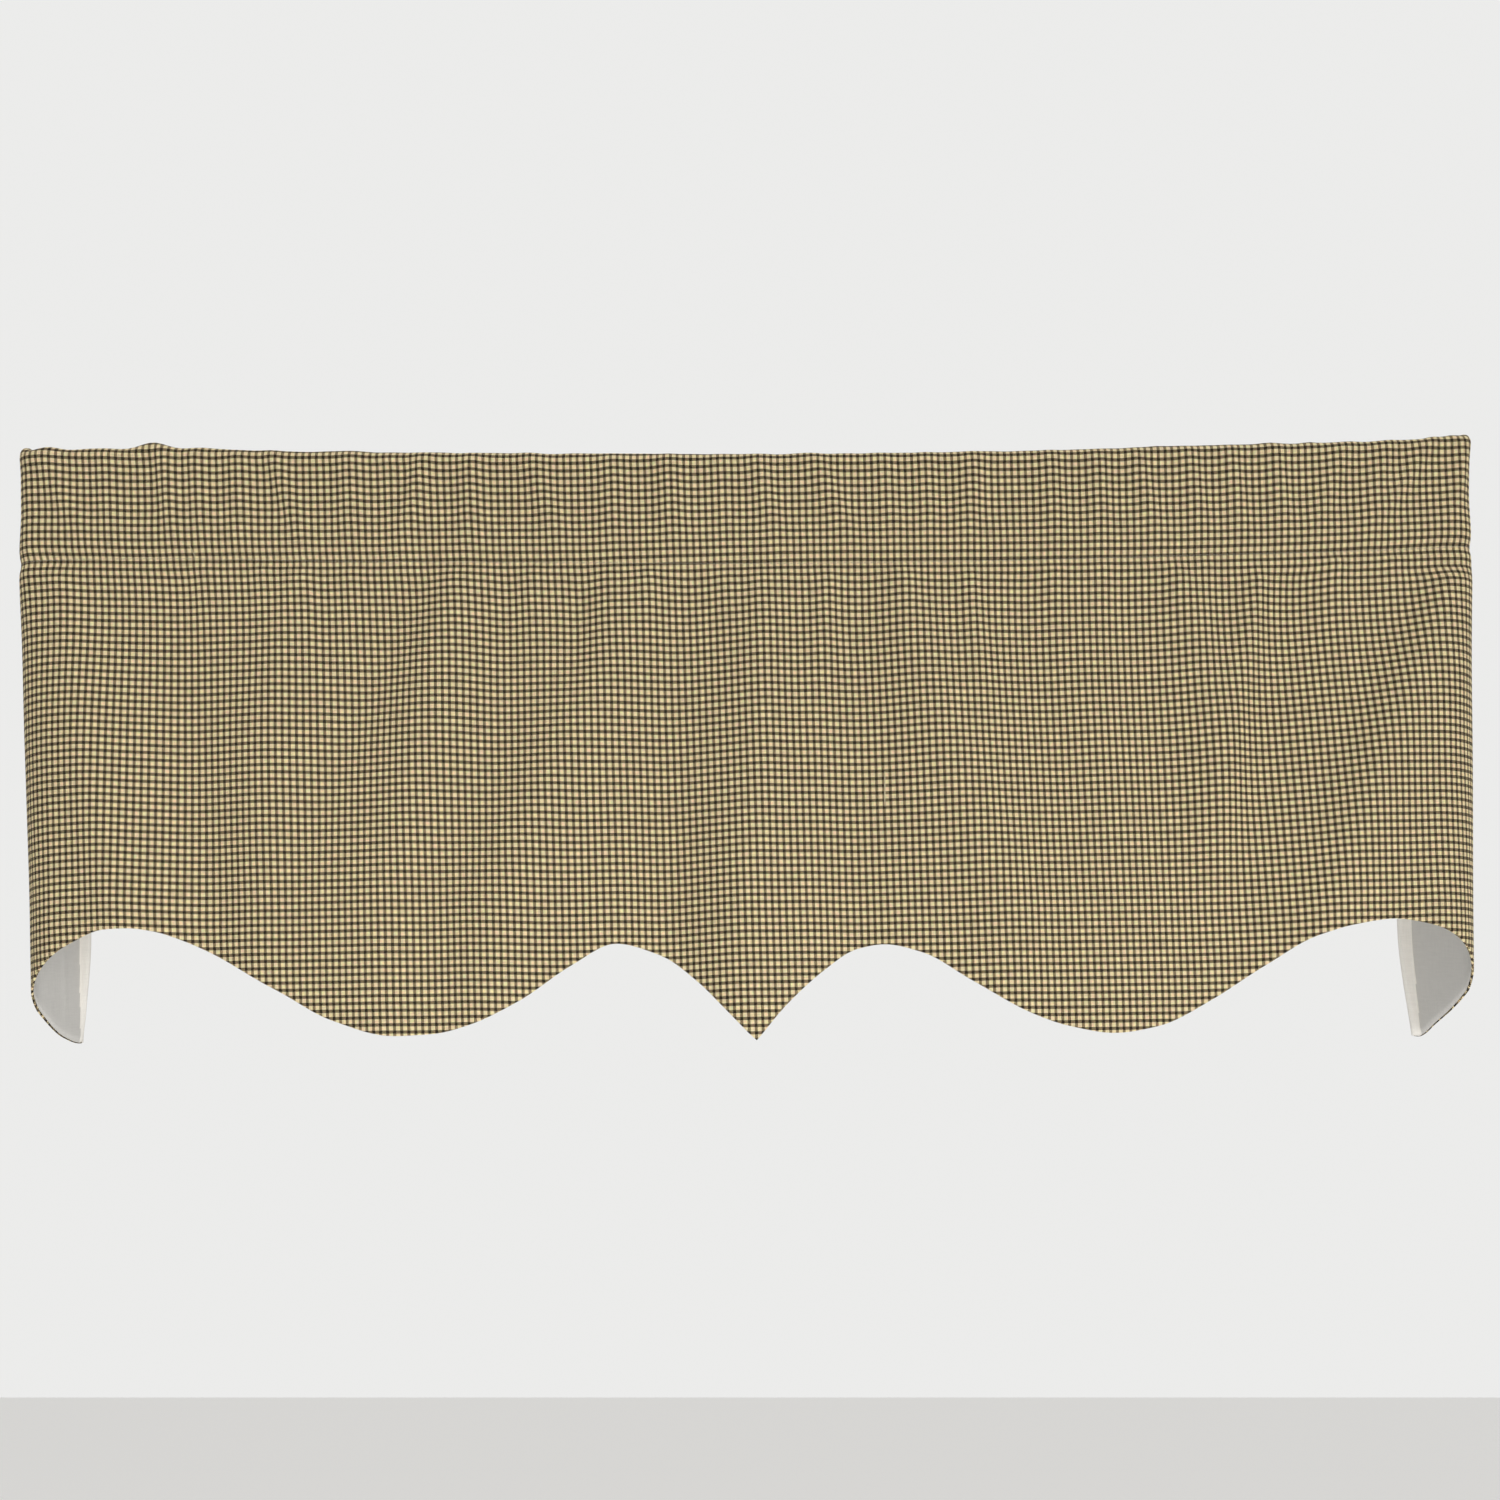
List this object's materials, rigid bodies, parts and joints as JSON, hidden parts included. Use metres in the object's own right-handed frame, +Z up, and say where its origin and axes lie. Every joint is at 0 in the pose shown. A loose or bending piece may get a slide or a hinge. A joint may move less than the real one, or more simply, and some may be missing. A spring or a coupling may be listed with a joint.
{
  "type": "window valance",
  "caption": "Lined rod-pocket window valance in a small two-tone check, with a scalloped hem that comes to a centre point, hung with both ends wrapped back to the wall.",
  "frame": {"origin": "middle of the top edge, on the centre line of the rod pocket", "axes": "+Z up, front of the valance faces -Y, wall side is +Y, +X to the right as seen from the front"},
  "size_m": [1.0844, 0.1144, 0.4497],
  "materials": {
    "check_cloth": "yarn-dyed woven mini check, matte",
    "lining_cloth": "plain woven off-white lining, matte"
  },
  "bodies": {
    "root": {"face_cloth": "check_cloth", "pocket_back": "check_cloth", "lining": "lining_cloth"}
  },
  "joints": []
}
